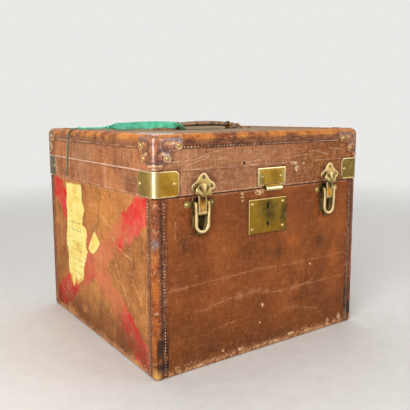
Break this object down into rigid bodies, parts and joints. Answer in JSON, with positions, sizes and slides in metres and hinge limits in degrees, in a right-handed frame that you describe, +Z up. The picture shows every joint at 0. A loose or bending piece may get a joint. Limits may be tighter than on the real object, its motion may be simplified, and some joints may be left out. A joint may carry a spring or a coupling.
{
  "type": "travel trunk",
  "caption": "Square leather travel trunk with a lift-up lid on back hinges, front lock and lever latches, brass corner plates and an arched top handle with a ribbon.",
  "frame": {"origin": "middle of the underside, on the surface that the trunk stands on", "axes": "+Z up, front with the lock and latches facing -Y, +X to the right seen from the front"},
  "size_m": [0.4708, 0.4736, 0.405],
  "materials": {
    "wood": "plain poplar boards",
    "cover_leather": "worn leather cloth with a fine pressed grain",
    "band_leather": "worn smooth leather",
    "binding_leather": "stitched polished edge leather",
    "cap_leather": "moulded glossy leather",
    "handle_leather": "dark handled leather",
    "lining_cloth": "plain woven cotton",
    "ribbon_cloth": "woven green ribbon",
    "brass": "patinated sheet brass",
    "steel": "dull steel"
  },
  "bodies": {
    "case": {"body_bottom_board": "wood", "body_front_board": "wood", "body_back_board": "wood", "body_left_board": "wood", "body_right_board": "wood", "body_cover": "cover_leather", "bottom_cover": "cover_leather", "body_lining": "lining_cloth", "rim_lip": "wood", "corner_binding_front_left": "binding_leather", "corner_binding_front_right": "binding_leather", "corner_binding_back_left": "binding_leather", "corner_binding_back_right": "binding_leather", "lock_plate": "brass", "lock_case": "steel", "case_rivets": "brass", "latch_left_base": "brass", "latch_right_base": "brass", "latch_pivot_pins": "steel", "hinge_body_leaves": "steel", "hinge_pins": "steel"},
    "lid": {"lid_top_board": "wood", "lid_front_board": "wood", "lid_back_board": "wood", "lid_left_board": "wood", "lid_right_board": "wood", "lid_cover": "cover_leather", "lid_rim_band": "band_leather", "lid_edge_binding": "binding_leather", "lid_lining": "lining_cloth", "corner_cap_front_left": "cap_leather", "corner_cap_front_right": "cap_leather", "corner_cap_back_left": "cap_leather", "corner_cap_back_right": "cap_leather", "rim_plate_front_left": "brass", "rim_plate_front_right": "brass", "rim_plate_back_left": "brass", "rim_plate_back_right": "brass", "hasp_plate": "brass", "hasp_pin": "steel", "latch_left_keeper": "brass", "latch_right_keeper": "brass", "hinge_lid_leaves": "steel", "handle_eyes": "brass", "handle_chapes": "handle_leather", "lid_rivets": "brass", "trim_nails": "brass", "ribbon_loop": "ribbon_cloth", "ribbon_knot": "ribbon_cloth", "ribbon_twist": "ribbon_cloth", "ribbon_string": "ribbon_cloth"},
    "handle": {"handle_grip": "handle_leather", "handle_spindles": "steel"},
    "lock_bolt": {"lock_bolt": "steel"},
    "latch_left_lever": {"latch_left_lever": "brass", "latch_left_link_pin": "steel"},
    "latch_left_link": {"latch_left_link": "brass"},
    "latch_right_lever": {"latch_right_lever": "brass", "latch_right_link_pin": "steel"},
    "latch_right_link": {"latch_right_link": "brass"}
  },
  "joints": [
    {"name": "lid_hinge", "type": "hinge", "parent": "case", "child": "lid", "pos_m": [0, 0.2311, 0.292], "axis": [-1, 0, 0], "range_deg": [0, 105]},
    {"name": "handle_tilt", "type": "hinge", "parent": "lid", "child": "handle", "pos_m": [0.0065, -0.022, 0.398], "axis": [1, 0, 0], "range_deg": [-45, 45]},
    {"name": "lock_bolt_slide", "type": "slide", "parent": "case", "child": "lock_bolt", "axis": [1, 0, 0], "range_m": [0, 0.006]},
    {"name": "latch_left_lever_swing", "type": "hinge", "parent": "case", "child": "latch_left_lever", "pos_m": [-0.1455, -0.231, 0.278], "axis": [-1, 0, 0], "range_deg": [0, 120]},
    {"name": "latch_left_link_follow", "type": "hinge", "parent": "latch_left_lever", "child": "latch_left_link", "pos_m": [-0.1455, -0.233, 0.264], "axis": [-1, 0, 0], "range_deg": [-120, 0]},
    {"name": "latch_right_lever_swing", "type": "hinge", "parent": "case", "child": "latch_right_lever", "pos_m": [0.1455, -0.231, 0.278], "axis": [-1, 0, 0], "range_deg": [0, 120]},
    {"name": "latch_right_link_follow", "type": "hinge", "parent": "latch_right_lever", "child": "latch_right_link", "pos_m": [0.1455, -0.233, 0.264], "axis": [-1, 0, 0], "range_deg": [-120, 0]}
  ],
  "couplings": [
    {"joint": "latch_left_link_follow", "follows": "latch_left_lever_swing", "ratio": -1},
    {"joint": "latch_right_link_follow", "follows": "latch_right_lever_swing", "ratio": -1}
  ]
}
